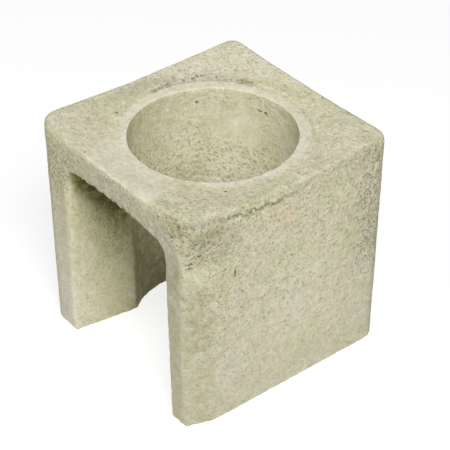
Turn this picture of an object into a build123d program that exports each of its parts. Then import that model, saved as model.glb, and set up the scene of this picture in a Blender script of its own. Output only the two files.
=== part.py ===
"""Chimney cleanout block, cast in concrete as one piece.

A round flue runs from top to foot, and an arched doorway opens from the front face into its foot.
The origin is at the middle of the foot, on the floor. +Z is up and the doorway faces -Y.
"""
from build123d import *
import math
import os

# Outside of the casting, across its top
block_width = 305.0
block_depth = 310.0
block_height = 305.0

# How far each upright face leans in between the top and the foot
face_draft = 1.8

# Upright corners of the mould: front left and back right are rounded, the other two are tighter
round_corner_radius = 26.0
tight_corner_radius = 16.0

# Flat cut on the two tight corners: it scoops out to the full corner above its flat height
corner_cut_front = 12.0
corner_cut_side = 35.0
corner_cut_flat_height = 258.0
corner_scoop_radius = 80.0

# Worn rounding of the outer top edge
top_edge_radius = 7.0

# Round flue
flue_diameter = 208.0

# Socket around the mouth of the flue: its flat floor is the smooth ring that a flue tile sits on
seat_diameter = 244.0
seat_depth = 8.0

# Shallow round dish of the top bed, from the outer corners down to the middle
bed_dish_depth = 7.0

# Arched doorway in the front face, a little to the right of the middle
doorway_foot_width = 206.0
doorway_head_width = 197.0
doorway_offset = 8.5
doorway_arch_rise = 7.0
doorway_haunch_radius = 18.0
doorway_splay_angle = 8.2

# Concrete over the crown of the doorway, up to the outer corners of the top
lintel_depth = 43.5

# Smooth apron that ramps from the seat to the front edge above the doorway
apron_width = 120.0
apron_inner_reach = 85.0
apron_edge_drop = 7.5
apron_side_angle = 60.0

# How far a cutting tool runs past the concrete
overrun = 5.0

# Levels and angles worked out from the sizes above
corner_reach = math.hypot(block_width, block_depth) / 2
dish_radius = (corner_reach ** 2 + bed_dish_depth ** 2) / (2 * bed_dish_depth)
dish_bottom = block_height - bed_dish_depth
seat_edge_height = dish_bottom + dish_radius - math.sqrt(dish_radius ** 2 - (seat_diameter / 2) ** 2)
seat_height = seat_edge_height - seat_depth
crown_height = block_height - lintel_depth
draft_angle = math.degrees(math.atan(face_draft / block_height))


def reach_in_plan(edge):
    """Distance of an edge's middle from the axis of the flue."""
    return math.hypot(edge.center().X, edge.center().Y)


def upright_edges(solid):
    """Edges that run up the corners of the casting, the outermost last."""
    edges = [edge for edge in solid.edges() if abs(edge.tangent_at(0).Z) > abs(edge.tangent_at(0).X)]
    edges = [edge for edge in edges if abs(edge.tangent_at(0).Z) > abs(edge.tangent_at(0).Y)]
    return sorted(edges, key=reach_in_plan)


def cast_body():
    """Casting before anything is cut, wider at the top than at the foot."""
    blank = Box(block_width, block_depth, block_height, align=(Align.CENTER, Align.CENTER, Align.MIN))
    sides = blank.faces().filter_by(Axis.Z, reverse=True)
    blank = draft(sides, Plane.XY.offset(block_height), -draft_angle)
    rounded = [edge for edge in upright_edges(blank) if edge.center().X * edge.center().Y > 0]
    blank = fillet(rounded, round_corner_radius)
    return fillet(upright_edges(blank)[-2:], tight_corner_radius)


def bed_dish():
    """Ball that dishes the top bed."""
    return Pos(0, 0, dish_bottom + dish_radius) * Rot(X=90) * Sphere(dish_radius)


def seat_socket():
    """Disc that sinks the ring around the mouth of the flue."""
    with BuildSketch(Plane.XY.offset(seat_height)) as disc:
        Circle(seat_diameter / 2)
    return extrude(disc.sketch, amount=block_height + overrun - seat_height)


def flue_bore():
    """Round flue from the foot up through the seat."""
    with BuildSketch(Plane.XY.offset(-overrun)) as disc:
        Circle(flue_diameter / 2)
    return extrude(disc.sketch, amount=block_height + 2 * overrun)


def upright_plane(across, forward, height):
    """Plane that faces the front: its x runs to the right and its y runs up."""
    return Plane(origin=(across, -forward, height), x_dir=(1, 0, 0), z_dir=(0, -1, 0))


def doorway_outline(foot_width, head_width, forward):
    """Outline of the doorway at one distance forward: leaning jambs, round haunches and a flat arch."""
    eave_height = crown_height - doorway_arch_rise
    lean = (foot_width - head_width) / 2 / eave_height
    sill_half = foot_width / 2 + lean * overrun
    eave_half = head_width / 2
    with BuildSketch(upright_plane(doorway_offset, forward, 0)) as outline:
        with BuildLine():
            Line((-sill_half, -overrun), (-eave_half, eave_height))
            ThreePointArc((-eave_half, eave_height), (0, crown_height), (eave_half, eave_height))
            Line((eave_half, eave_height), (sill_half, -overrun))
            Line((sill_half, -overrun), (-sill_half, -overrun))
        make_face()
        haunches = outline.vertices().sort_by(Axis.Y)[-2:]
        fillet(haunches, doorway_haunch_radius)
    return outline.sketch


def doorway():
    """Core of the doorway: its jambs splay together from the front face to the middle of the flue."""
    splay = math.tan(math.radians(doorway_splay_angle))
    front = block_depth / 2 + overrun
    widen = 2 * overrun * splay
    narrow = block_depth * splay
    outer = doorway_outline(doorway_foot_width + widen, doorway_head_width + widen, front)
    inner = doorway_outline(doorway_foot_width - narrow, doorway_head_width - narrow, 0)
    return loft([outer, inner], ruled=True)


def apron_outline(forward, floor_height):
    """Cross-section of the apron: a level floor with sides that slope up to the bed."""
    depth = block_height + overrun - floor_height
    flare = depth * math.tan(math.radians(apron_side_angle))
    with BuildSketch(upright_plane(0, forward, floor_height)) as outline:
        with BuildLine():
            Polyline(
                (-apron_width / 2, 0),
                (apron_width / 2, 0),
                (apron_width / 2 + flare, depth),
                (-apron_width / 2 - flare, depth),
                close=True,
            )
        make_face()
    return outline.sketch


def apron():
    """Shallow ramp above the doorway, from the seat up to the front edge."""
    front = block_depth / 2
    edge_height = block_height - apron_edge_drop
    slope = (edge_height - seat_height) / (front - apron_inner_reach)
    near = apron_outline(front + overrun, edge_height + slope * overrun)
    far = apron_outline(apron_inner_reach, seat_height)
    return loft([near, far], ruled=True)


def corner_cut():
    """Tool for the flat cut on the front right corner, with the scoop above it."""
    outward = Vector(corner_cut_side, -corner_cut_front, 0).normalized()
    along = Vector(corner_cut_front, corner_cut_side, 0).normalized()
    middle = Vector(
        block_width / 2 - face_draft - corner_cut_front / 2,
        -block_depth / 2 + face_draft + corner_cut_side / 2,
        0,
    )
    reach = corner_cut_front + overrun
    scoop_rise = math.sqrt(corner_scoop_radius ** 2 - (corner_scoop_radius - reach) ** 2)
    scoop_end = corner_cut_flat_height + scoop_rise
    with BuildSketch(Plane(origin=middle, x_dir=outward, z_dir=along * -1)) as section:
        with BuildLine():
            Polyline((0, corner_cut_flat_height), (0, -overrun), (reach, -overrun), (reach, scoop_end))
            RadiusArc((reach, scoop_end), (0, corner_cut_flat_height), -corner_scoop_radius)
        make_face()
    return extrude(section.sketch, amount=math.hypot(corner_cut_front, corner_cut_side), both=True)


def outer_top_edges(block):
    """Edges that run round the outside of the top bed."""
    return [edge for edge in block.edges() if edge.center().Z > seat_edge_height]


def cleanout_block():
    """The whole casting."""
    block = cast_body() - bed_dish()
    block = fillet(outer_top_edges(block), top_edge_radius)
    front_cut = corner_cut()
    block = block - front_cut - front_cut.rotate(Axis.Z, 180)
    block = block - seat_socket() - apron()
    return block - flue_bore() - doorway()


os.makedirs("parts", exist_ok=True)
export_step(cleanout_block(), "parts/cleanout_block.step")
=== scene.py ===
"""Looks of a chimney cleanout block, cast in pale sandy concrete.

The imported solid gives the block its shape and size. This script covers it with one skin of worn,
pitted concrete, and sets a plain pale floor, soft studio light and the camera.
Meshes, lamps and the camera are in metres, in the block's own frame: +Z is up and the doorway
faces -Y. What the skin and its finish know of the block, BlockSizes and CastingMap, is in millimetres.
"""
import logging
import math
from dataclasses import dataclass
from enum import Enum

import bmesh
import bpy
import numpy as np
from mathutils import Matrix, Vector, noise


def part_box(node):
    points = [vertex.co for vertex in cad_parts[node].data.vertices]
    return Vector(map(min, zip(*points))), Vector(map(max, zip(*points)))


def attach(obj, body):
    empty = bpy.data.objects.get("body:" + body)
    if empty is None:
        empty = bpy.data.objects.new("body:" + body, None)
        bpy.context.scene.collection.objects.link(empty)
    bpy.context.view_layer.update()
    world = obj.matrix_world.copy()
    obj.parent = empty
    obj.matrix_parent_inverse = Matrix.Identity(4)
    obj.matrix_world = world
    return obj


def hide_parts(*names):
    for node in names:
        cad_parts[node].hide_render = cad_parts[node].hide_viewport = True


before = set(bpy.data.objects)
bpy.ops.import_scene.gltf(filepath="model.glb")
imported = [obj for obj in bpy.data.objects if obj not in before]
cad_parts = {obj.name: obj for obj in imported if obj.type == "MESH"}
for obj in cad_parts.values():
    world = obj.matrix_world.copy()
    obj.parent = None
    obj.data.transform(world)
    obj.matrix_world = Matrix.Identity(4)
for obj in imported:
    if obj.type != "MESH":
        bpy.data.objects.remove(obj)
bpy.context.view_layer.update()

log = logging.getLogger("cleanout_block")

NODE = "cleanout_block"
BODY = "root"
SKIN = "concrete_skin"
MM = 0.001
WHITE = (1.0, 1.0, 1.0, 1.0)
NOISE_FADE = 1.0
NOISE_STEP = 2.0

Array = np.ndarray
Numbers = Array | float
Pair = tuple[float, float]
Triple = tuple[float, float, float]
Colour = tuple[float, float, float, float]
ShaderNode = bpy.types.Node

# Middle and half sizes of each deeper pit, in millimetres.
PITS: tuple[tuple[Triple, Triple], ...] = (
    ((151.5, -87.3, 212.5), (3.0, 1.4, 6.5)), ((-93.1, 46.9, 271.6), (2.5, 2.0, 1.8)),
    ((-22.5, 102.0, 267.8), (3.2, 2.5, 2.4)), ((-31.0, 99.8, 268.5), (3.6, 3.0, 1.6)),
    ((-109.0, -64.9, 293.2), (2.0, 1.9, 2.0)), ((30.9, 147.3, 300.4), (2.0, 1.6, 2.0)),
    ((105.7, -65.0, 293.1), (2.0, 1.8, 2.0)), ((102.4, -113.1, 296.9), (1.4, 2.4, 2.0)),
    ((127.7, -152.0, 292.6), (3.0, 5.0, 2.6)), ((97.0, -154.5, 292.3), (2.8, 4.0, 1.8)),
    ((121.1, -153.0, 277.7), (2.8, 5.0, 2.0)), ((144.9, -138.3, 273.7), (2.6, 2.4, 1.8)),
    ((149.8, -123.6, 272.9), (2.4, 2.4, 1.8)), ((141.1, -144.0, 246.0), (4.0, 4.0, 1.4)),
    ((141.1, -144.1, 240.3), (4.0, 4.0, 1.4)), ((144.7, -133.5, 255.3), (3.0, 3.0, 1.6)),
    ((151.9, 126.2, 294.3), (3.0, 2.6, 1.8)), ((-121.5, -2.1, 295.5), (2.2, 1.6, 3.8)),
    ((-120.9, 14.8, 295.5), (1.8, 2.2, 3.8)), ((-118.8, 25.3, 295.5), (1.8, 1.8, 3.8)),
    ((-126.2, 35.0, 295.5), (1.8, 1.6, 3.2)), ((-116.2, 44.6, 295.5), (2.4, 1.8, 3.8)),
    ((-112.3, 54.8, 295.5), (1.8, 1.8, 3.8)), ((-112.4, 62.3, 295.5), (2.0, 1.6, 3.8)),
    ((-109.1, 66.9, 295.5), (1.8, 1.6, 3.8)), ((-96.1, 80.7, 295.5), (1.5, 1.5, 3.4)),
    ((-65.6, 102.9, 295.5), (2.0, 1.6, 3.8)), ((-58.5, 107.7, 295.5), (2.6, 1.8, 3.8)),
    ((-52.3, 109.7, 295.5), (1.6, 1.6, 3.8)), ((-40.7, 111.8, 295.5), (1.8, 1.5, 3.8)),
    ((-35.4, 115.7, 295.5), (1.5, 1.5, 3.4)),
)


class Trait(Enum):
    """What the mesh tells the concrete finish about each place on the skin."""

    SMOOTH = "smooth"
    PALE = "pale"
    WARM = "warm"
    PITTED = "pitted"
    # Darkening: soot and painted shade.
    SOILED_AND_SHADED = "soiled_and_shaded"
    # Painted highlight on ridges, painted shade in hollows.
    CURVATURE_SHADING = "curvature_shading"
    TONE = "tone"
    # Olive tint: painted shade and stains.
    OLIVE_STAIN_AND_SHADE = "olive_stain_and_shade"


class Lumps(Enum):
    """Noises that shape the skin: size of the largest lumps, octaves, and a shift of its own."""

    WAVES = (60.0 * MM, 2, 3.7)
    SAND = (9.0 * MM, 3, 11.3)
    CHIPS = (8.0 * MM, 3, 29.1)
    RAGS = (7.0 * MM, 3, 43.9)

    def at(self, points: Array) -> Array:
        """Fractal noise at each point, mostly between -1 and 1."""
        size, octaves, shift = self.value
        scaled = points / size + shift
        levels = [noise.fractal(Vector(place), NOISE_FADE, NOISE_STEP, octaves) for place in scaled]
        return np.array(levels)


def rise(value: Array, low: Numbers, high: Numbers) -> Array:
    """Soft step from 0 at low to 1 at high, which falls where high lies below low."""
    share = np.clip((value - low) / (high - low), 0.0, 1.0)
    return share * share * (3.0 - 2.0 * share)


def band(value: Array, low: float, high: float, soft: float) -> Array:
    """1 between low and high, and 0 beyond them, with soft sides."""
    return rise(value, low - soft, low + soft) * rise(value, high + soft, high - soft)


def bell(value: Array, middle: Numbers, width: float) -> Array:
    """Bell curve that is 1 at its middle."""
    return np.exp(-(((value - middle) / width) ** 2))


def strongest(*parts: Array) -> Array:
    """Greatest of several masks at each point, held between 0 and 1."""
    return np.clip(np.maximum.reduce(parts), 0.0, 1.0)


@dataclass(frozen=True)
class BlockSizes:
    """Sizes of the casting and of its damage that the skin follows, in millimetres."""

    flue_radius: float = 104.0
    seat_height: float = 292.2
    dish_bottom: float = 298.0
    dish_radius: float = 3382.0
    apron_start: float = -85.0
    apron_slope: float = 0.075
    apron_half: float = 60.0
    apron_side_slope: float = 0.577
    crown_height: float = 261.5
    doorway_left: float = -94.5
    doorway_middle: float = 8.5
    break_start: Triple = (92.0, -155.0, 297.0)
    break_facing: Triple = (0.188, -0.956, 0.223)
    rounded_corner: Triple = (152.0, -142.0, 302.0)
    # Direction towards the key light: slopes of the top that face it get painted shade.
    key_light_side: Triple = (0.606, -0.283, 0.743)


@dataclass
class SkinMesh:
    """Points, normals and links of the skin while it is shaped, in metres."""

    points: Array
    normals: Array
    links: Array
    step: float = 0.5

    @classmethod
    def read(cls, mesh: bpy.types.Mesh) -> "SkinMesh":
        """Reads a mesh.

        Args:
            mesh: The mesh to read.

        Returns:
            Its points, normals and links, as double numbers.
        """
        points = np.empty(len(mesh.vertices) * 3)
        mesh.vertices.foreach_get("co", points)
        normals = np.empty(len(mesh.vertices) * 3)
        mesh.vertex_normals.foreach_get("vector", normals)
        links = np.empty(len(mesh.edges) * 2, int)
        mesh.edges.foreach_get("vertices", links)
        return cls(points.reshape(-1, 3), normals.reshape(-1, 3), links.reshape(-1, 2))

    def write(self, mesh: bpy.types.Mesh) -> None:
        """Puts the points into a mesh."""
        mesh.vertices.foreach_set("co", self.points.astype(np.float32).ravel())
        mesh.update()

    def relaxed(self, rounds: int, freedom: Numbers = 1.0) -> Array:
        """Places of the points after each has moved towards the mean of its neighbours.

        Args:
            rounds: How many times the points move.
            freedom: How far each point may move, from 0 to 1.

        Returns:
            The new places. The skin keeps its own.
        """
        count = len(self.points)
        share = self.step * np.broadcast_to(freedom, count)[:, None]
        first, second = self.links.T
        ends = np.concatenate([first, second])
        others = np.concatenate([second, first])
        degree = np.bincount(ends, minlength=count)[:, None]
        places = self.points.copy()
        for _ in range(rounds):
            total = np.stack([np.bincount(ends, places[others, axis], count) for axis in range(3)], 1)
            places += share * (total / degree - places)
        return places

    def bulge(self, rounds: int) -> Array:
        """How far each point stands out from the points round it, along its normal."""
        return ((self.points - self.relaxed(rounds)) * self.normals).sum(1)


@dataclass
class CastingMap:
    """Says where the casting is smooth, pitted or soiled, and where shade and highlights are painted on
    it.

    Each method marks one part of the casting with numbers from 0 to 1, apart from the heights, which
    are in millimetres. The numbers in them are places on the block in millimetres, angles round the
    flue in degrees from its right side, parts of a unit normal, and shares.
    """

    sizes: BlockSizes
    points: Array
    normals: Array
    ragged: Array

    def __post_init__(self) -> None:
        """Splits the places and normals into their parts."""
        self.x, self.y, self.z = self.points.T / MM
        self.radius = np.hypot(self.x, self.y)
        self.angle = np.degrees(np.arctan2(self.y, self.x)) % 360.0
        self.up = rise(self.normals[:, 2], 0.35, 0.75)
        self.ahead = rise(-self.normals[:, 1], 0.55, 0.8) * rise(self.y, -140, -148)
        self.right_side = rise(self.normals[:, 0], 0.5, 0.8) * rise(self.x, 140, 146)
        facing_away = rise(np.maximum(-self.normals[:, 0], self.normals[:, 1]), 0.5, 0.8)
        hidden_sides = facing_away * rise(np.maximum(-self.x, self.y), 140, 146)
        self.sides = np.maximum(self.right_side, hidden_sides)
        self.top = self.up * rise(self.z, 285, 290)

    def ring(self) -> Array:
        """Smooth ring around the mouth of the flue."""
        turns = (0, 30, 60, 90, 115, 150, 180, 210, 230, 270, 300, 330, 360)
        limits = (117, 121, 121.5, 120, 117.5, 121, 121, 118, 116, 115, 113, 114, 117)
        limit = np.interp(self.angle, turns, limits) + 2.2 * self.ragged
        spread = 1.0 - self.behind()
        return self.top * rise(limit - self.radius, -1.5 - 5.0 * spread, 3.0 + 4.0 * spread)

    def apron(self) -> Array:
        """Smooth funnel on the top, from the front edge to the ring."""
        along = (-157, -136, -116, -92, -70)
        left = np.interp(self.y, along, (-46, -59, -65, -82, -110))
        right = np.interp(self.y, along, (80, 72, 64, 66, 96))
        inside = rise(self.x - left, -9, 13) * rise(right - self.x, -9, 13)
        return self.top * inside * rise(self.y, -62, -78)

    def lintel(self) -> Array:
        """Smooth panel over the doorway that runs down the right leg."""
        limit = np.interp(self.z, (242, 252, 262, 273, 294, 306), (160, 143, 126, 115, 92, 82))
        inside = rise(limit - self.x, -4, 4) * rise(self.x, -57, -53)
        return self.ahead * inside

    def left_leg(self) -> Array:
        """Front of the left leg, which grows smoother towards the foot."""
        return self.ahead * rise(self.x, -60, -70) * rise(self.z, 210, 90)

    def left_front(self) -> Array:
        """Front of the left leg and of the corner above it."""
        return self.ahead * rise(self.x, -60, -76)

    def cut_face(self) -> Array:
        """Flat cut on the front right corner, below its scoop."""
        across = rise(self.x, 134, 139) * rise(self.y, -112, -121)
        return across * rise(self.z, 235, 190) * (1.0 - self.up)

    def smooth(self) -> Array:
        """How smooth the casting came out of the mould: 1 is smooth and 0 is sandy."""
        return strongest(
            0.6 * self.ring(), 0.55 * self.apron(), 0.45 * self.left_leg(),
            0.3 * self.lintel() * rise(self.x, 0.0, -45),
            0.15 * self.cut_face(), 0.25 * self.sides * rise(self.z, 170, 60), self.bore_patch(),
            0.45 * self.right_leg(),
        )

    def pale(self) -> Array:
        """Where fine cement makes the casting paler."""
        leg_foot = self.ahead * rise(self.z, 190, 20) * rise(self.x, -60, -70)
        return strongest(
            (0.72 + 0.2 * self.left_turn()) * self.ring(), 0.52 * self.apron(), leg_foot,
            0.27 * self.sides * rise(self.z, 240, 60) * (1.0 - self.cut_face()),
            0.35 * self.bore_patch(), 0.42 * self.side_middle(), 0.45 * self.far_corner(),
            0.42 * self.bore() * rise(self.z, 220, 150), 0.3 * self.jamb_foot(),
        )

    def warm(self) -> Array:
        """Warm, faintly pink patches on the right side."""
        spots = ((-6, 259, 26), (42, 215, 20), (43, 192, 16), (70, 120, 22))
        total = np.zeros(len(self.points))
        for across, height, reach in spots:
            total += bell(self.y, across, reach) * bell(self.z, height, 0.7 * reach)
        return np.clip(total, 0.0, 1.0) * self.right_side

    def behind(self) -> Array:
        """1 behind the flue and on its right, where the step round the seat is sharp."""
        turned = (self.angle + 90.0) % 360.0
        return rise(turned, 116, 146) * rise(turned, 342, 258)

    def left_turn(self) -> Array:
        """Left of the flue, where the bed runs down to the ring without a step."""
        return band(self.angle, 188, 240, 14)

    def far_corner(self) -> Array:
        """Back left corner of the top, which is paler."""
        return self.top * rise(self.y - self.x, 130, 190) * rise(self.radius, 126, 136)

    def jamb_foot(self) -> Array:
        """Lower part of the left inner wall of the doorway, which is paler."""
        return self.jamb_wall() * rise(self.z, 190, 90)

    def jamb_wall(self) -> Array:
        """Left inner wall of the doorway."""
        wall = rise(self.normals[:, 0], 0.6, 0.9) * rise(self.x, -60, -70)
        return wall * rise(self.radius, 105, 109) * rise(self.x, -110, -102)

    def bore_back(self) -> Array:
        """Back of the flue, as far down as it shows from above."""
        return self.bore() * band(self.angle, 66, 178, 16) * rise(self.z, 110, 150)

    def olive_stain_and_shade(self) -> Array:
        """Olive tint: painted olive shade deep in the doorway, under the arch, low in the flue and
        under the front right corner, and olive patches on the flue's left, the broken edge and the rim.
        """
        deep = self.jamb_wall() * rise(self.y, -132, -92)
        left = self.bore() * band(self.angle, 196, 222, 12) * rise(self.z, 190, 220)
        return strongest(
            deep * (0.45 + 0.55 * rise(self.z, 80, 160)), 0.9 * self.jamb_lintel_shadow(), 0.15 * left,
            0.8 * self.arch_underside_shade(), 0.2 * self.low_flue_shade(), 0.7 * self.corner_hollow_shade(),
            0.12 * self.broken(), 0.3 * self.jamb_wall() * rise(self.z, 120, 180), 0.15 * self.rim(),
        )

    def side_middle(self) -> Array:
        """Middle of the right side, which is a little paler."""
        return self.right_side * bell(self.y, 10, 70) * bell(self.z, 140, 90)

    def dish(self) -> Array:
        """Height of the dished bed at each place."""
        return self.sizes.dish_bottom + self.radius ** 2 / (2 * self.sizes.dish_radius)

    def ramp(self) -> Array:
        """Height of the apron's floor at each place."""
        sizes = self.sizes
        return sizes.seat_height + sizes.apron_slope * np.maximum(sizes.apron_start - self.y, 0.0)

    def cast_level(self) -> Array:
        """Height of the top as the solid has it, outside the ring."""
        sizes = self.sizes
        cut = self.ramp() + sizes.apron_side_slope * np.maximum(np.abs(self.x) - sizes.apron_half, 0.0)
        return np.where(self.y < sizes.apron_start, np.minimum(self.dish(), cut), self.dish())

    def bed_level(self) -> Array:
        """Height of the top as smoothed off: it slopes from the bed down to the ring and the apron."""
        sizes = self.sizes
        sharp = self.behind()
        start = sizes.flue_radius + 17.0 * sharp
        end = 190.0 - 34.0 * sharp
        share = rise(self.radius, start, end)
        steep = sharp * (0.18 + 0.28 * rise(self.angle, 84, 106)) * rise(self.angle, 194, 166)
        share += steep * (rise(self.radius, start, start + 4.0) - share)
        level = sizes.seat_height + (self.dish() - sizes.seat_height) * share
        ramp = self.ramp()
        aside = rise(np.abs(self.x - sizes.doorway_middle), 42, 100)
        ahead = rise(self.y, -70, -100)
        return level + (np.minimum(level, ramp + (level - ramp) * aside) - level) * ahead

    def far_edges(self) -> Array:
        """Back and left edges of the top, which are cleaner than the others."""
        return rise(np.maximum(self.y, -self.x), 110, 140) * rise(self.z, 270, 285)

    def worn_edges(self) -> Array:
        """Edges that have worn round: front right corner, the top's outside and the lintel's lip."""
        corner = rise(self.x, 120, 132) * rise(self.y, -100, -112) * rise(self.z, 20, 60)
        outside = rise(self.z, 286, 294) * rise(self.radius, 138, 146)
        lip = self.ahead * bell(self.z, self.sizes.crown_height - 2.0, 9)
        return strongest(corner, 0.7 * outside, 0.3 * lip)

    def bed(self) -> Array:
        """Top of the casting outside the ring, up to its outer edges."""
        outer = np.maximum(np.abs(self.x) - 143, np.abs(self.y) - 146)
        return rise(self.z, 287, 291) * rise(self.radius, 108, 112) * rise(outer, 3, 0.0)

    def left_arris(self) -> Array:
        """Upright edge between the front of the left leg and the jamb, which is rounded off."""
        line = self.sizes.doorway_left + 4.5 * self.z / self.sizes.crown_height
        near = bell(self.x, line, 12) * rise(self.y, -138, -146)
        return near * rise(self.z, 4, 22) * rise(self.z, 250, 225)

    def step(self) -> Array:
        """Pitted shoulder behind the flue, where the bed steps down to the ring."""
        turns = (106, 111, 118, 124, 129, 145, 149, 155, 163, 169, 185)
        radii = (119, 119, 121, 122, 124, 128, 126, 124, 127, 122, 121)
        line = np.interp(self.angle, turns, radii)
        stretches = np.maximum(band(self.angle, 109, 128, 3.0), band(self.angle, 146, 182, 3.0))
        return bell(self.radius, line, 2.0) * stretches * self.top

    def seam(self) -> Array:
        """Fine crevice at the outer edge of the ring, on its right, which is darkened with painted
        shade.
        """
        return bell(self.radius, 122, 1.8) * band(self.angle, 44, 78, 8.0) * self.top

    def crease_line(self) -> Array:
        """Height of the crease along the right side."""
        places = (-112, -95, -82, -74, -65, -54, -39, -12, 12, 33, 79, 101, 126)
        heights = (293, 294.5, 293.5, 290.5, 292.5, 291.5, 289, 289, 292, 295.5, 296, 295, 292.5)
        return np.interp(self.y, places, heights)

    def rim(self) -> Array:
        """Worn edge between the top and the right side."""
        edge = rise(self.x, 139, 144) * rise(self.z, 290, 294)
        return edge * rise(self.y, -110, -80) * rise(self.y, 152, 135)

    def crease(self) -> Array:
        """Pitted crease that runs along the right side, just under the top."""
        along = rise(self.y, -112, -92) * (0.3 + 0.7 * rise(self.y, 40, -50))
        along *= rise(self.y, 150, 110)
        return bell(self.z, self.crease_line(), 4.2) * along * rise(self.x, 136, 144)

    def below_crease(self) -> Array:
        """Part of the right side that lies back under the crease."""
        under = rise(self.z - self.crease_line(), 3, -6) * rise(self.z, 235, 285)
        return under * self.right_side * rise(self.y, -125, -95) * rise(self.y, 155, 130)

    def corner_patch(self) -> Array:
        """Rough patch over the scoop of the front right corner and round it."""
        high = band(self.z, 238, 292, 10)
        across = rise(self.x, 96, 112) * rise(self.y, -70, -105)
        return high * across * (1.0 - self.lintel())

    def left_patch(self) -> Array:
        """Rough patch at the top of the front left corner."""
        return rise(self.x, -62, -76) * self.ahead * band(self.z, 205, 292, 22)

    def right_band(self) -> Array:
        """Rougher band up the back edge of the right side."""
        return self.right_side * rise(self.y, 70, 125) * rise(self.z, 60, 150)

    def under_top(self) -> Array:
        """Rough zone round the sides, under the top."""
        return 0.65 * self.sides * rise(self.z, 215, 275)

    def jamb(self) -> Array:
        """Left inner wall of the doorway, which roughens inwards and upwards."""
        inward = rise(self.y, -150, -85)
        high = 0.15 + 0.85 * rise(self.z, 80, 210)
        deep = 0.7 * rise(self.y, -132, -88) * rise(self.z, 60, 170)
        return self.jamb_wall() * inward * np.maximum(high, deep)

    def inner_arris(self) -> Array:
        """Upright edge at which the left jamb meets the flue."""
        return rise(self.radius, 112, 108) * rise(self.x, -60, -66) * rise(self.y, -52, -60)

    def lip(self) -> Array:
        """Ragged lower lip of the lintel, over the middle of the doorway."""
        return self.ahead * band(self.z, 249, 265, 4) * band(self.x, -55, 45, 10)

    def arch_underside_shade(self) -> Array:
        """Painted shade on the underside of the doorway's arch and on the upper ends of its jambs."""
        inside = rise(self.y, -158, -150) * rise(self.y, -50, -60)
        under = rise(-self.normals[:, 2], 0.3, 0.7) * rise(self.z, 225, 235)
        return inside * under

    def bore(self) -> Array:
        """Wall of the flue."""
        near = rise(self.radius, 106.5, 105) * rise(self.radius, 100, 101.5)
        return near * (1.0 - self.up) * rise(self.z, 291, 288)

    def bore_patch(self) -> Array:
        """Smooth patches high up on the back of the flue."""
        high = band(self.z, 218, 262, 12) * band(self.angle, 108, 140, 8)
        right = band(self.z, 205, 262, 16) * band(self.angle, 58, 86, 10)
        return self.bore() * np.maximum(high, 0.8 * right)

    def low_flue_shade(self) -> Array:
        """Painted shade on the lower part of the flue, to the left of the doorway."""
        return self.bore() * band(self.angle, 145, 240, 15) * rise(self.z, 215, 150)

    def pitted(self) -> Array:
        """How thick the dark pits lie."""
        parts = (
            0.7 * self.step(), 0.9 * self.crease(), 0.5 * self.corner_patch(),
            0.6 * self.left_patch(),
            0.62 * self.right_band(), 0.62 * self.under_top(), 0.95 * self.jamb(),
            0.42 * self.bore() * (0.3 + 0.7 * rise(self.z, 250, 200)), 0.3 * self.rim(),
            0.28 * self.sides, 0.24 * self.top, 0.25 * self.ahead, 0.55 * self.broken(),
            0.5 * self.lip(),
            0.42 * self.lintel() * rise(self.z, 250, 262),
            0.34 * self.top * rise(self.x, 40, 90) * rise(self.y, -60, -100),
        )
        return strongest(*parts) * (1.0 - 0.9 * self.smooth())

    def right_leg(self) -> Array:
        """Front of the right leg."""
        return self.ahead * rise(self.x, 100, 112) * rise(self.z, 262, 240)

    def tone(self, key_shade: Array) -> Array:
        """How much lighter or darker the casting is than its colour says.

        Args:
            key_shade: Painted shade where the top faces the key light.

        Returns:
            Shares of its brightness, above or below 0.
        """
        side = self.right_side * bell(self.y, 30, 90) * bell(self.z, 120, 100)
        low_bore = self.bore_back() * band(self.z, 150, 215, 20)
        high_jamb = self.jamb_wall() * rise(self.z, 130, 190)
        low_jamb = self.jamb_wall() * rise(self.z, 110, 50)
        upper_front = self.right_side * rise(self.z, 240, 270) * rise(self.y, -60, -85)
        corner = rise(self.z, 278, 290) * rise(self.x, 100, 125) * rise(self.y, -110, -135)
        # The first part is painted shade where the top faces the key light.
        parts = (
            -0.28 * key_shade, 0.11 * self.far_corner(), 0.08 * side,
            0.06 * self.ring() * self.behind() * rise(self.angle, 70, 110) - 0.03 * self.ring(),
            0.02 * self.left_turn() * self.top * rise(self.radius, 150, 125),
            0.08 * self.left_front(), 0.03 * self.bore_back(), 0.09 * low_bore, 0.06 * low_jamb,
            0.07 * self.jamb_wall() * rise(self.y, -125, -92), 0.02 * self.lintel(),
            -0.08 * high_jamb, -0.10 * self.right_leg() * rise(self.z, 190, 230),
            -0.05 * upper_front, -0.06 * corner,
        )
        return np.sum(parts, axis=0)

    def key_shade(self) -> Array:
        """Painted shade on the slopes and edges of the top that face the key light, which tones down
        their highlights; the top's front edge gets up to half of it.
        """
        facing = self.normals @ np.array(self.sizes.key_light_side)
        outer = rise(self.z, 266, 284) * rise(self.radius, 106, 110)
        front_edge = rise(-self.normals[:, 1] * self.normals[:, 2], 0.12, 0.42)
        front_edge *= rise(self.y, -140, -148)
        return outer * np.maximum(rise(facing, 0.755, 0.96), 0.5 * front_edge)

    def broken(self) -> Array:
        """Front edge that has broken away towards the front right corner."""
        past = (self.points / MM - np.array(self.sizes.break_start)) @ np.array(self.sizes.break_facing)
        return rise(past, -1, 3)

    def corner_hollow_shade(self) -> Array:
        """Painted shade, dark and faintly green, in the hollow under the worn front right corner."""
        return bell(self.z, 284, 11) * bell(self.y, -121, 20) * rise(self.x, 116, 136)

    def jamb_lintel_shadow(self) -> Array:
        """Painted shadow of the lintel on the upper end of the left jamb, under the arch, above a
        slanting shadow line.
        """
        inside = rise(self.y, -153, -143) * rise(self.radius, 105, 110)
        wall = rise(self.x, -60, -74) * rise(self.normals[:, 0], 0.2, 0.7) * rise(self.y, 0, -40)
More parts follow.
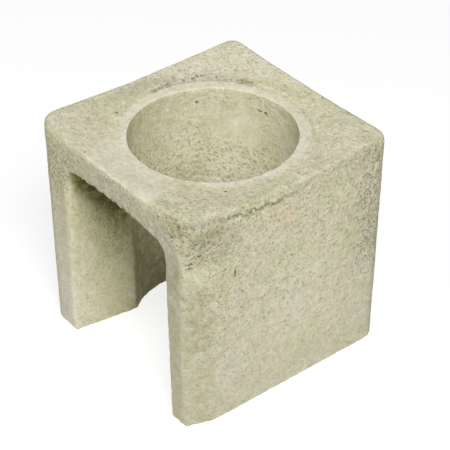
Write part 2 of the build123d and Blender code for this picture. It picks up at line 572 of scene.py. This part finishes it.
        # Edge of the painted shadow, which slants down towards the inside.
        line = 192 - 1.1 * (self.y + 115)
        return inside * wall * rise(self.z - line, -22, 16)

    def soiled_and_shaded(self) -> Array:
        """How much the casting is darkened towards the soot colour: painted shade under the arch, in
        the lintel's shadow on the left jamb, in the crease, at the ring's seam, low in the flue and in
        the hollow under the front right corner, and darkening on the rough patches, the jamb, the cut
        face, the right leg, the broken edge, the rim and the top.
        """
        return strongest(
            0.45 * self.crease(), 0.27 * self.corner_patch(), 0.14 * self.jamb(),
            0.55 * self.arch_underside_shade(), 0.10 * self.right_band(), 0.45 * self.low_flue_shade(),
            0.03 * self.rim(),
            0.38 * self.cut_face() * (0.5 + 0.5 * rise(self.z, 90, 150)),
            0.30 * self.right_leg() * (0.2 + 0.8 * rise(self.z, 90, 220)), self.jamb_lintel_shadow(),
            0.50 * self.corner_hollow_shade(), 0.36 * self.broken(), 0.04 * self.top * (1.0 - self.ring()),
            0.24 * self.seam(), 0.14 * self.step(),
        )


@dataclass
class ConcreteSkin:
    """One skin of concrete, as cast and worn, that stands for the solid block."""

    sizes: BlockSizes
    mesh_depth: int = 7
    mesh_share: float = 0.9
    join_distance: float = 0.01 * MM
    sharp_angle: float = math.radians(48.0)
    edge_rounds: int = 1
    worn_rounds: int = 10
    shoulder_rounds: int = 60
    arris_rounds: int = 30
    corner_rounds: int = 60
    bend_rounds: int = 10
    crest_rounds: int = 4
    edge_bend: Pair = (0.15 * MM, 0.9 * MM)
    crest_depth: float = 0.4 * MM
    corner_softness: float = 1.5 * MM
    corner_reach: float = 50.0 * MM
    wave_depth: float = 0.5 * MM
    sand_depth: float = 0.45 * MM
    crease_depth: float = 2.8 * MM
    under_crease_depth: float = 1.3 * MM
    step_depth: float = 1.5 * MM
    seam_depth: float = 0.5 * MM
    chip_depth: float = 0.6 * MM
    lip_chip_depth: float = 3.4 * MM

    def solid_copy(self) -> bpy.types.Object:
        """Merged copy of the solid's mesh, for the skin to grow on."""
        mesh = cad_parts[NODE].data.copy()
        work = bmesh.new()
        work.from_mesh(mesh)
        bmesh.ops.remove_doubles(work, verts=work.verts[:], dist=self.join_distance)
        bmesh.ops.recalc_face_normals(work, faces=work.faces[:])
        work.to_mesh(mesh)
        work.free()
        copy = bpy.data.objects.new("solid_copy", mesh)
        bpy.context.scene.collection.objects.link(copy)
        return copy

    def even_mesh(self) -> bpy.types.Mesh:
        """Even mesh of small faces over the whole solid."""
        copy = self.solid_copy()
        remesh = copy.modifiers.new("even faces", "REMESH")
        remesh.mode = "SHARP"
        remesh.octree_depth = self.mesh_depth
        remesh.scale = self.mesh_share
        remesh.sharpness = 1.0
        remesh.use_remove_disconnected = False
        graph = bpy.context.evaluated_depsgraph_get()
        mesh = bpy.data.meshes.new_from_object(copy.evaluated_get(graph))
        bpy.data.objects.remove(copy)
        mesh.name = SKIN
        mesh.materials.clear()
        return mesh

    def smoothed_bed(self, skin: SkinMesh, casting: CastingMap) -> None:
        """Slopes the top of the casting down to the ring and the apron.

        Args:
            skin: The skin, whose points move.
            casting: Where the points lie.
        """
        bed = casting.bed()
        skin.points = skin.relaxed(self.shoulder_rounds, bed * (1.0 - 0.85 * casting.behind()))
        moved = CastingMap(self.sizes, skin.points, casting.normals, casting.ragged)
        level = moved.bed_level()
        edge = rise(moved.z, 262, 288) * rise(moved.radius, 122, 135)
        sunk = (moved.cast_level() - level) * edge
        skin.points[:, 2] += MM * ((level - moved.z) * bed - sunk * (1.0 - bed))

    def worn_arrises(self, skin: SkinMesh, casting: CastingMap) -> None:
        """Rounds the edges that have worn: casting says where they lie."""
        skin.points = skin.relaxed(self.worn_rounds, casting.worn_edges())
        skin.points = skin.relaxed(self.arris_rounds, casting.left_arris())

    def worn_corner(self, skin: SkinMesh) -> None:
        """Breaks the front edge away towards the front right corner and rounds that corner off.

        Args:
            skin: The skin, whose points move.
        """
        facing = np.array(Vector(self.sizes.break_facing).normalized())
        past = np.maximum((skin.points - MM * np.array(self.sizes.break_start)) @ facing, 0.0)
        depth = past * past / (past + self.corner_softness)
        skin.points = skin.points - depth[:, None] * facing
        away = skin.points - MM * np.array(self.sizes.rounded_corner)
        distance = np.linalg.norm(away / self.corner_reach, axis=1)
        skin.points = skin.relaxed(self.corner_rounds, rise(distance, 1.0, 0.55))

    def relief(self, skin: SkinMesh, casting: CastingMap) -> Array:
        """How deep each point sinks below the moulded face.

        Args:
            skin: The skin as moulded.
            casting: Where it is smooth or pitted.

        Returns:
            Depths in metres, 0 or more.
        """
        rough = 1.0 - 0.9 * casting.smooth()
        waves = 0.5 + 0.5 * Lumps.WAVES.at(skin.points)
        sand = Lumps.SAND.at(skin.points)
        calm = 1.0 - 0.6 * casting.far_edges()
        depth = self.wave_depth * waves * (0.3 + 0.7 * rough)
        depth += self.sand_depth * rough * (0.55 + sand) * (0.5 + 1.1 * casting.pitted()) * calm
        depth += self.crease_depth * casting.crease() * np.maximum(0.35 + 1.9 * sand, 0.0)
        depth += self.under_crease_depth * casting.below_crease()
        depth += self.step_depth * casting.step() * np.maximum(0.1 + 1.7 * sand, 0.0)
        depth += self.seam_depth * casting.seam()
        flat_foot = rise(casting.z, 3, 1)
        return np.maximum(depth, 0.0) * (1.0 - 0.7 * flat_foot)

    def chips(self, skin: SkinMesh, casting: CastingMap) -> Array:
        """How deep the chips along the edges go.

        Args:
            skin: The skin as moulded.
            casting: Where its parts are.

        Returns:
            Depths in metres, 0 or more.
        """
        edge = rise(skin.bulge(self.bend_rounds), *self.edge_bend)
        far = rise(np.maximum(casting.y, -casting.x), 120, 140)
        depth = self.chip_depth * (1.0 - 0.7 * far) + self.lip_chip_depth * casting.lip()
        return depth * edge * rise(Lumps.CHIPS.at(skin.points), -0.05, 0.45)

    def mark(self, mesh: bpy.types.Mesh, traits: dict[Trait, Array]) -> None:
        """Stores the traits of each point of the skin, for the finish to read.

        Args:
            mesh: The mesh of the skin.
            traits: One number for each point, by trait.
        """
        for trait, values in traits.items():
            attribute = mesh.attributes.new(trait.value, "FLOAT", "POINT")
            attribute.data.foreach_set("value", values.astype(np.float32))

    def build(self) -> bpy.types.Object:
        """Grows the skin.

        Returns:
            The finished piece, with its traits marked.
        """
        mesh = self.even_mesh()
        skin = SkinMesh.read(mesh)
        skin.points = skin.relaxed(self.edge_rounds)
        ragged = Lumps.RAGS.at(skin.points)
        casting = CastingMap(self.sizes, skin.points.copy(), skin.normals, ragged)
        self.smoothed_bed(skin, casting)
        self.worn_arrises(skin, casting)
        self.worn_corner(skin)
        skin.write(mesh)
        skin.normals = SkinMesh.read(mesh).normals
        casting = CastingMap(self.sizes, casting.points, skin.normals, ragged)
        # Painted shade where the top faces the key light, taken from the shaped skin before its sand.
        key_shade = CastingMap(self.sizes, skin.points, skin.normals, ragged).key_shade()
        depth = self.relief(skin, casting) + self.chips(skin, casting)
        low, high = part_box(NODE)
        sunk = skin.points - depth[:, None] * skin.normals
        skin.points = np.clip(sunk, np.array(low), np.array(high))
        skin.write(mesh)
        # Painted highlight on ridges and painted shade in hollows, from how far each point stands out;
        # weaker at the jamb's inner arris.
        curvature_shading = np.clip(0.5 + 0.5 * skin.bulge(self.crest_rounds) / self.crest_depth, 0.0, 1.0)
        self.mark(mesh, {
            Trait.SMOOTH: casting.smooth(),
            Trait.PALE: casting.pale(),
            Trait.WARM: casting.warm(),
            Trait.PITTED: casting.pitted(),
            Trait.SOILED_AND_SHADED: casting.soiled_and_shaded(),
            Trait.TONE: casting.tone(key_shade),
            Trait.OLIVE_STAIN_AND_SHADE: casting.olive_stain_and_shade(),
            Trait.CURVATURE_SHADING: curvature_shading * (1.0 - 0.7 * casting.inner_arris()),
        })
        mesh.polygons.foreach_set("use_smooth", np.ones(len(mesh.polygons), bool))
        mesh.set_sharp_from_angle(angle=self.sharp_angle)
        piece = bpy.data.objects.new(SKIN, mesh)
        bpy.context.scene.collection.objects.link(piece)
        triangles = sum(len(face.vertices) - 2 for face in mesh.polygons)
        log.info("%s has %d triangles", piece.name, triangles)
        return piece


class Wire:
    """Output of a shader node, with arithmetic that adds Math nodes."""

    def __init__(self, bench: "NodeBench", socket: bpy.types.NodeSocket) -> None:
        """Keeps the bench that the node stands on and its socket."""
        self.bench = bench
        self.socket = socket

    def __add__(self, other: "Wire | float") -> "Wire":
        """Sum."""
        return self.bench.maths("ADD", self, other)

    def __radd__(self, other: float) -> "Wire":
        """Sum, with the number first."""
        return self.bench.maths("ADD", other, self)

    def __sub__(self, other: "Wire | float") -> "Wire":
        """Difference."""
        return self.bench.maths("SUBTRACT", self, other)

    def __rsub__(self, other: float) -> "Wire":
        """Difference, with the number first."""
        return self.bench.maths("SUBTRACT", other, self)

    def __mul__(self, other: "Wire | float") -> "Wire":
        """Product."""
        return self.bench.maths("MULTIPLY", self, other)

    def __rmul__(self, other: float) -> "Wire":
        """Product, with the number first."""
        return self.bench.maths("MULTIPLY", other, self)

    def over(self, other: "Wire | float") -> "Wire":
        """Greater of the two."""
        return self.bench.maths("MAXIMUM", self, other)

    def lifted(self, base: float, gain: float) -> "Wire":
        """Base where this is 0, and base plus gain where it is 1."""
        return base + self * gain

    def step(self, low: float, high: float) -> "Wire":
        """Soft step from 0 at low to 1 at high."""
        settings = {"interpolation_type": "SMOOTHSTEP"}
        sockets = {"Value": self, "From Min": low, "From Max": high}
        return self.bench.wire("ShaderNodeMapRange", "Result", settings, sockets)


def named(sockets: bpy.types.bpy_prop_collection, name: str) -> bpy.types.NodeSocket:
    """First of a node's sockets that has this name or identifier."""
    return next(socket for socket in sockets if name in (socket.identifier, socket.name))


class NodeBench:
    """Nodes of one material, and the methods that add them."""

    def __init__(self, tree: bpy.types.NodeTree) -> None:
        """Starts with an empty tree."""
        self.tree = tree
        self.tree.nodes.clear()

    def node(self, kind: str, settings: dict | None = None, sockets: dict | None = None) -> ShaderNode:
        """Adds a node.

        Args:
            kind: Blender's name for the type of node.
            settings: The node's own settings, which are set first.
            sockets: Values or wires for its inputs, by name or identifier.

        Returns:
            The new node.
        """
        made = self.tree.nodes.new(kind)
        for name, value in (settings or {}).items():
            setattr(made, name, value)
        for name, value in (sockets or {}).items():
            if isinstance(value, Wire):
                self.tree.links.new(value.socket, named(made.inputs, name))
            else:
                named(made.inputs, name).default_value = value
        return made

    def output(self, made: ShaderNode, name: str) -> Wire:
        """One of a node's outputs, by name or identifier."""
        return Wire(self, named(made.outputs, name))

    def wire(
        self, kind: str, name: str, settings: dict | None = None, sockets: dict | None = None
    ) -> Wire:
        """Adds a node, as node() does, and gives the output with this name."""
        return self.output(self.node(kind, settings, sockets), name)

    def maths(self, operation: str, first: Wire | float, second: Wire | float) -> Wire:
        """Adds a Math node and gives its result."""
        sockets = {"Value": first, "Value_001": second}
        return self.wire("ShaderNodeMath", "Value", {"operation": operation}, sockets)

    def vector(self, operation: str, first: Wire | Triple, second: Wire | Triple) -> Wire:
        """Adds a Vector Math node for two vectors and gives its result."""
        sockets = {"Vector": first, "Vector_001": second}
        return self.wire("ShaderNodeVectorMath", "Vector", {"operation": operation}, sockets)

    def scaled(self, vector: Wire | Triple, share: Wire | float) -> Wire:
        """Vector times a number."""
        sockets = {"Vector": vector, "Scale": share}
        return self.wire("ShaderNodeVectorMath", "Vector", {"operation": "SCALE"}, sockets)

    def length(self, vector: Wire) -> Wire:
        """Length of a vector."""
        return self.wire("ShaderNodeVectorMath", "Value", {"operation": "LENGTH"}, {"Vector": vector})

    def noise(self, place: Wire, scale: float, detail: float) -> Wire:
        """Noise over the object, as one number from 0 to 1."""
        sockets = {"Vector": place, "Scale": scale, "Detail": detail, "Roughness": 0.6}
        return self.wire("ShaderNodeTexNoise", "Fac", {}, sockets)

    def trait(self, trait: Trait) -> Wire:
        """What the mesh says of a trait."""
        settings = {"attribute_name": trait.value, "attribute_type": "GEOMETRY"}
        return self.wire("ShaderNodeAttribute", "Fac", settings)

    def blend(self, share: Wire | float, first: Wire | Colour, second: Wire | Colour) -> Wire:
        """Mixes two colours: share says how much of the second."""
        sockets = {"Factor_Float": share, "A_Color": first, "B_Color": second}
        return self.wire("ShaderNodeMix", "Result_Color", {"data_type": "RGBA"}, sockets)

    def seen_straight(self) -> Wire:
        """1 for rays from the camera, also those that gloss or glass sends on."""
        sight = self.node("ShaderNodeLightPath")
        rays = self.output(sight, "Is Camera Ray") + self.output(sight, "Is Glossy Ray")
        return rays + self.output(sight, "Is Transmission Ray")


@dataclass(frozen=True)
class ConcreteFinish:
    """Dry, sandy, pale yellow-grey concrete with dark pits.

    A scale is a noise's number of lumps to the metre. A step is the pair of noise levels between
    which a mark or a colour comes in. A strength is a pair too: its base and what its full cause adds.
    A shift is what its cause adds to red, green and blue.
    """

    paste: Colour = (0.660, 0.622, 0.458, 1.0)
    sand: Colour = (0.632, 0.606, 0.405, 1.0)
    laitance: Colour = (0.745, 0.705, 0.565, 1.0)
    blush: Colour = (0.715, 0.605, 0.420, 1.0)
    pit: Colour = (0.200, 0.168, 0.082, 1.0)
    # Colour of soot and of painted shade, with little blue.
    shade_and_soot: Colour = (0.178, 0.166, 0.048, 1.0)
    patch_scale: float = 14.0
    patch_step: Pair = (0.38, 0.66)
    mottle_scale: float = 60.0
    blush_step: Pair = (0.32, 0.58)
    grain_scale: float = 390.0
    lump_scale: float = 170.0
    tint_scale: float = 95.0
    olive_step: Pair = (0.38, 0.62)
    olive_strength: Pair = (0.12, 0.42)
    shade_and_soot_step: Pair = (0.60, 0.42)
    shade_and_soot_strength: Pair = (0.32, 0.62)
    tick_scale: float = 205.0
    tick_step: Pair = (0.11, 0.03)
    gap_scale: float = 280.0
    gap_step: Pair = (0.64, 0.71)
    gap_rise: float = 0.22
    spot_scale: float = 260.0
    spot_step: Pair = (0.67, 0.79)
    spot_rise: float = 0.13
    hole_scale: float = 62.0
    hole_strength: Pair = (0.035, 0.065)
    hole_step: Pair = (0.0, 0.03)
    hole_share_step: Pair = (0.45, 0.55)
    bend_scale: float = 300.0
    bend_reach: float = 3.0 * MM
    mark_strength: Pair = (0.34, 0.47)
    mark_calm: float = 0.55
    rough_strength: Pair = (1.0, -0.8)
    grain_tone: float = 0.56
    lump_strength: Pair = (0.52, 0.05)
    mottle_tone: float = 0.44
    # Painted highlight on ridges and painted shade in hollows.
    curvature_shading_tone: float = 0.14
    pit_step: Pair = (1.15, 0.55)
    pit_cover: float = 0.85
    grain_height: float = 0.55
    lump_height: float = 1.6
    pit_depth: float = 1.2
    bump_strength: float = 0.9
    bump_distance: float = 1.0 * MM
    roughness: float = 0.93
    gloss: float = 0.25
    sand_shift: Triple = (1.0, 1.0, 1.4)
    tone_shift: Triple = (1.0, 1.0, 0.9)
    tint_shift: Triple = (-0.06, 0.0, 0.22)
    olive_shift: Triple = (-0.26, -0.14, -0.85)

    def bent(self, bench: NodeBench, place: Wire) -> Wire:
        """Coordinates of the object, shaken so that cells and marks come out crooked."""
        sockets = {"Vector": place, "Scale": self.bend_scale, "Detail": 2.0}
        crooked = bench.wire("ShaderNodeTexNoise", "Color", {}, sockets)
        level = bench.vector("SUBTRACT", crooked, (0.5, 0.5, 0.5))
        return bench.vector("ADD", place, bench.scaled(level, self.bend_reach))

    def ticks(self, bench: NodeBench, bent: Wire, wanted: Wire) -> Wire:
        """Mask of the short crooked crevices between the grains of sand, and of small round pits.

        Args:
            bench: Where the nodes go.
            bent: Crooked coordinates of the object.
            wanted: How thick the marks lie, from 0 to 1.

        Returns:
            1 in a mark and 0 outside.
        """
        course = bench.noise(bent, self.tick_scale, 1.0)
        gaps = bench.noise(bent, self.gap_scale, 2.0) + wanted * self.gap_rise
        spots = bench.noise(bent, self.spot_scale, 1.0) + wanted * self.spot_rise
        line = bench.maths("ABSOLUTE", course - 0.5, 0.0)
        crevices = gaps.step(*self.gap_step) * line.step(*self.tick_step)
        return crevices.over(spots.step(*self.spot_step))

    def holes(self, bench: NodeBench, bent: Wire) -> Wire:
        """Mask of the few larger holes that bubbles left."""
        cells = bench.node("ShaderNodeTexVoronoi", {}, {"Vector": bent, "Scale": self.hole_scale})
        split = bench.node("ShaderNodeSeparateColor", {}, {"Color": bench.output(cells, "Color")})
        reach = bench.output(split, "Red").lifted(*self.hole_strength)
        hole = (reach - bench.output(cells, "Distance")).step(*self.hole_step)
        return hole * bench.output(split, "Green").step(*self.hole_share_step)

    def single_pits(self, bench: NodeBench, bent: Wire) -> Wire:
        """Mask of the deeper pits that stand out one by one.

        Args:
            bench: Where the nodes go.
            bent: Crooked coordinates of the object.

        Returns:
            1 in a pit and 0 outside.
        """
        total: Wire | float = 0.0
        for middle, reach in PITS:
            away = bench.vector("SUBTRACT", bent, tuple(MM * value for value in middle))
            scaled = bench.vector("DIVIDE", away, tuple(MM * value for value in reach))
            total = bench.length(scaled).step(*self.pit_step).over(total)
        return total

    def shaded(self, bench: NodeBench, colour: Wire, sand: Wire, stain: Wire) -> Wire:
        """Shades a colour as the traits and the noises say.

        Args:
            bench: Where the nodes go.
            colour: The colour of the clean concrete.
            sand: How much lighter or darker its grains are, with painted highlights on ridges and
                painted shade in hollows, above or below 0.
            stain: The noise that the stains follow, from 0 to 1.

        Returns:
            The shaded colour.
        """
        # Olive tint for painted shade and for olive stains.
        olive = bench.trait(Trait.OLIVE_STAIN_AND_SHADE) * stain.step(*self.olive_step).lifted(*self.olive_strength)
        causes = (
            (self.sand_shift, sand),
            (self.tone_shift, bench.trait(Trait.TONE)),
            (self.tint_shift, stain - 0.5),
            (self.olive_shift, olive),
        )
        tones: Wire | Triple = (1.0, 1.0, 1.0)
        for shift, share in causes:
            tones = bench.vector("ADD", tones, bench.scaled(shift, share))
        return bench.vector("MULTIPLY", colour, tones)

    def material(self) -> bpy.types.Material:
        """Builds the material.

        Returns:
            The concrete.
        """
        concrete = bpy.data.materials.new("cast_concrete")
        concrete.use_nodes = True
        bench = NodeBench(concrete.node_tree)
        place = bench.wire("ShaderNodeTexCoord", "Object")
        bent = self.bent(bench, place)
        smooth, pitted = bench.trait(Trait.SMOOTH), bench.trait(Trait.PITTED)
        rough = smooth.lifted(*self.rough_strength)
        mottle = bench.noise(place, self.mottle_scale, 3.0)
        grain = bench.noise(place, self.grain_scale, 2.0)
        lumps = bench.noise(place, self.lump_scale, 3.0)
        stain = bench.noise(place, self.tint_scale, 3.0)
        ticks = self.ticks(bench, bent, pitted - self.mark_calm * smooth)
        marks = ticks.over(self.holes(bench, bent) * rough) * pitted.lifted(*self.mark_strength)
        pits = marks.over(self.single_pits(bench, bent))

        patches = bench.noise(place, self.patch_scale, 3.0).step(*self.patch_step)
        colour = bench.blend(patches, self.paste, self.sand)
        blushed = bench.trait(Trait.WARM) * mottle.step(*self.blush_step)
        colour = bench.blend(blushed, colour, self.blush)
        colour = bench.blend(bench.trait(Trait.PALE), colour, self.laitance)
        sand = (grain - 0.5) * rough * self.grain_tone + (mottle - 0.5) * self.mottle_tone
        sand = sand + (lumps - 0.5) * smooth.lifted(*self.lump_strength)
        # Painted highlight on ridges and painted shade in hollows.
        sand = sand + (bench.trait(Trait.CURVATURE_SHADING) - 0.5) * self.curvature_shading_tone
        colour = self.shaded(bench, colour, sand, stain)
        # Darkening towards the soot colour: soot and painted shade.
        darkened = bench.trait(Trait.SOILED_AND_SHADED) * stain.step(*self.shade_and_soot_step).lifted(*self.shade_and_soot_strength)
        colour = bench.blend(darkened, colour, self.shade_and_soot)
        colour = bench.blend(pits * self.pit_cover, colour, self.pit)

        height = grain * rough * self.grain_height + lumps * rough * self.lump_height
        height = height - pits * self.pit_depth
        relief = {"Height": height, "Strength": self.bump_strength, "Distance": self.bump_distance}
        skin = bench.wire("ShaderNodeBsdfPrincipled", "BSDF", {}, {
            "Base Color": colour,
            "Roughness": self.roughness,
            "Specular IOR Level": self.gloss,
            "Normal": bench.wire("ShaderNodeBump", "Normal", {}, relief),
        })
        bench.node("ShaderNodeOutputMaterial", {}, {"Surface": skin})
        return concrete


@dataclass(frozen=True)
class FloorFinish:
    """Plain pale floor that shows white, with the block's soft shadow."""

    colour: Colour = (0.52, 0.52, 0.51, 1.0)
    glow: float = 0.80
    shadow_share: float = 0.55

    def material(self) -> bpy.types.Material:
        """Builds the material.

        Returns:
            The floor's finish.
        """
        pale = bpy.data.materials.new("pale_floor")
        pale.use_nodes = True
        bench = NodeBench(pale.node_tree)
        matte = bench.wire("ShaderNodeBsdfDiffuse", "BSDF", {}, {"Color": self.colour})
        black = bench.wire("ShaderNodeEmission", "Emission", {}, {"Strength": 0.0})
        sockets = {"Color": WHITE, "Strength": self.glow}
        white = bench.wire("ShaderNodeEmission", "Emission", {}, sockets)
        sockets = {"Fac": self.shadow_share, "Shader": black, "Shader_001": matte}
        faint = bench.wire("ShaderNodeMixShader", "Shader", {}, sockets)
        seen = bench.wire("ShaderNodeAddShader", "Shader", {}, {"Shader": faint, "Shader_001": white})
        sockets = {"Fac": bench.seen_straight(), "Shader": matte, "Shader_001": seen}
        floor = bench.wire("ShaderNodeMixShader", "Shader", {}, sockets)
        bench.node("ShaderNodeOutputMaterial", {}, {"Surface": floor})
        return pale


def direction(azimuth: float, elevation: float) -> Vector:
    """Unit vector from the block towards a place around it.

    Args:
        azimuth: Degrees round from the front, towards the right side.
        elevation: Degrees above the horizon.

    Returns:
        The direction.
    """
    turn, tilt = math.radians(azimuth), math.radians(elevation)
    flat = math.cos(tilt)
    return Vector((math.sin(turn) * flat, -math.cos(turn) * flat, math.sin(tilt)))


@dataclass(frozen=True)
class Stand:
    """Place around the block that something looks at it from."""

    aim: Triple
    azimuth: float
    elevation: float
    distance: float

    def hold(self, name: str, data: bpy.types.ID) -> bpy.types.Object:
        """Puts a lamp or a camera on the stand, facing its aim.

        Args:
            name: The object's name.
            data: The lamp or camera.

        Returns:
            The object, in the scene.
        """
        held = bpy.data.objects.new(name, data)
        back = direction(self.azimuth, self.elevation)
        held.location = Vector(self.aim) + back * self.distance
        held.rotation_euler = (-back).to_track_quat("-Z", "Y").to_euler()
        bpy.context.scene.collection.objects.link(held)
        return held


@dataclass(frozen=True)
class Softbox:
    """One square studio lamp that faces the block."""

    name: str
    stand: Stand
    size: float
    power: float

    def light(self) -> None:
        """Hangs the lamp."""
        lamp = bpy.data.lights.new(self.name, "AREA")
        lamp.shape = "SQUARE"
        lamp.size = self.size
        lamp.energy = self.power
        self.stand.hold(self.name, lamp)


@dataclass(frozen=True)
class Studio:
    """Floor, light and camera around the block."""

    floor_size: float = 24.0
    dome_strength: float = 0.05
    lens: float = 128.006
    sensor: float = 36.0
    far_clip: float = 100.0
    camera_stand: Stand = Stand((0.00836, 0.01187, 0.15366), 51.469, 36.390, 2.01243)
    softboxes: tuple[Softbox, ...] = (
        Softbox("key_softbox", Stand((0.0, 0.0, 0.15), 65.0, 48.0, 3.2), size=1.1, power=99.0),
        Softbox("fill_softbox", Stand((0.0, 0.0, 0.15), -30.0, 40.0, 3.2), size=1.8, power=28.0),
    )

    def floor(self) -> None:
        """Lays the floor under the block."""
        work = bmesh.new()
        bmesh.ops.create_grid(work, x_segments=1, y_segments=1, size=self.floor_size / 2)
        mesh = bpy.data.meshes.new("floor")
        work.to_mesh(mesh)
        work.free()
        mesh.materials.append(FloorFinish().material())
        floor = bpy.data.objects.new("floor", mesh)
        bpy.context.scene.collection.objects.link(floor)

    def dome(self) -> None:
        """Lights the block evenly from all round, in front of a white background."""
        world = bpy.data.worlds.new("studio")
        world.use_nodes = True
        bench = NodeBench(world.node_tree)
        sockets = {"Color": WHITE, "Strength": self.dome_strength}
        glow = bench.wire("ShaderNodeBackground", "Background", {}, sockets)
        white = bench.wire("ShaderNodeBackground", "Background", {}, {"Color": WHITE, "Strength": 1.0})
        sockets = {"Fac": bench.seen_straight(), "Shader": glow, "Shader_001": white}
        dome = bench.wire("ShaderNodeMixShader", "Shader", {}, sockets)
        bench.node("ShaderNodeOutputWorld", {}, {"Surface": dome})
        bpy.context.scene.world = world

    def camera(self) -> None:
        """Sets the camera at the photograph's viewing angle."""
        lens = bpy.data.cameras.new("camera")
        lens.lens = self.lens
        lens.sensor_width = self.sensor
        lens.clip_end = self.far_clip
        bpy.context.scene.camera = self.camera_stand.hold("camera", lens)

    def build(self) -> None:
        """Sets up the whole studio."""
        self.floor()
        self.dome()
        for softbox in self.softboxes:
            softbox.light()
        self.camera()
        bpy.context.scene.view_settings.view_transform = "Standard"


def main() -> None:
    """Builds the block's skin and the studio around it."""
    logging.basicConfig(level=logging.INFO, format="%(name)s: %(message)s")
    skin = ConcreteSkin(BlockSizes()).build()
    skin.data.materials.append(ConcreteFinish().material())
    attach(skin, BODY)
    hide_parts(NODE)
    log.info("%s rides on %s", skin.name, BODY)
    Studio().build()
    log.info("floor, lamps and camera stand")


if __name__ == "__main__":
    main()
